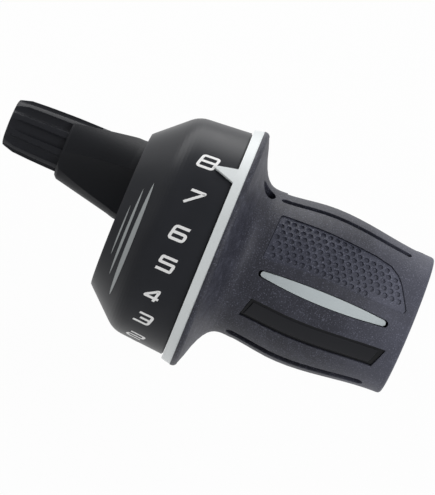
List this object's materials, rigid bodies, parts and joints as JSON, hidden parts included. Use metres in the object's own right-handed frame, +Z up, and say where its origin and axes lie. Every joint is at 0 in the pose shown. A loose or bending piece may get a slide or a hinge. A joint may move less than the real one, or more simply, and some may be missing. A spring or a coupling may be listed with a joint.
{
  "type": "twist grip shifter",
  "caption": "Right-hand indexed twist grip gear shifter for a flat handlebar: numbered cover, pale ring with pointer, rubber grip and a screw-out cable adjuster.",
  "frame": {"origin": "on the handlebar axis, at the seam between the fixed cover and the turning ring", "axes": "+X along the handlebar toward its end, +Y forward on the bicycle, +Z up"},
  "size_m": [0.1034, 0.0578, 0.0578],
  "materials": {
    "housing_plastic": "fine matte moulding",
    "cover_plastic": "gloss",
    "screw_steel": "zinc plated",
    "dark_steel": "black oxide",
    "spring_steel": "bright",
    "slide_plastic": "natural low-friction plastic",
    "insert_brass": "turned",
    "spool_plastic": "matte",
    "ring_plastic": "satin, pale silver grey",
    "grip_rubber": "matte, fine grain",
    "insert_plastic": "smooth satin",
    "badge_plastic": "gloss, bare",
    "knob_plastic": "satin",
    "seat_aluminium": "turned"
  },
  "bodies": {
    "housing": {"housing_body": "housing_plastic", "gear_cover": "cover_plastic", "cover_screw": "screw_steel", "clamp_screw": "dark_steel", "clamp_nut": "screw_steel", "detent_spring": "spring_steel", "thrust_washer": "slide_plastic", "cable_guide": "slide_plastic", "adjuster_insert": "insert_brass", "retaining_ring": "dark_steel"},
    "grip": {"spool": "spool_plastic", "cable_lock_screw": "dark_steel", "pointer_ring": "ring_plastic", "grip_rubber": "grip_rubber", "lens_insert": "insert_plastic", "grip_badge": "badge_plastic"},
    "adjuster_slide": {"adjuster_collar": "slide_plastic", "adjuster_spring": "spring_steel"},
    "adjuster": {"adjuster_barrel": "knob_plastic", "casing_seat": "seat_aluminium"}
  },
  "joints": [
    {"name": "grip_twist", "type": "hinge", "parent": "housing", "child": "grip", "pos_m": [0, 0, 0], "axis": [1, 0, 0], "range_deg": [0, 129.5], "deforming": ["detent_spring"]},
    {"name": "adjuster_travel", "type": "slide", "parent": "housing", "child": "adjuster_slide", "axis": [-1, 0, 0], "range_m": [0, 0.0045], "deforming": ["adjuster_spring"]},
    {"name": "adjuster_turn", "type": "hinge", "parent": "adjuster_slide", "child": "adjuster", "pos_m": [0, 0.0192, 0], "axis": [-1, 0, 0], "range_deg": [0, 1620]}
  ],
  "couplings": [
    {"joint": "adjuster_travel", "follows": "adjuster_turn", "m_per_rad": 0.00015915}
  ]
}
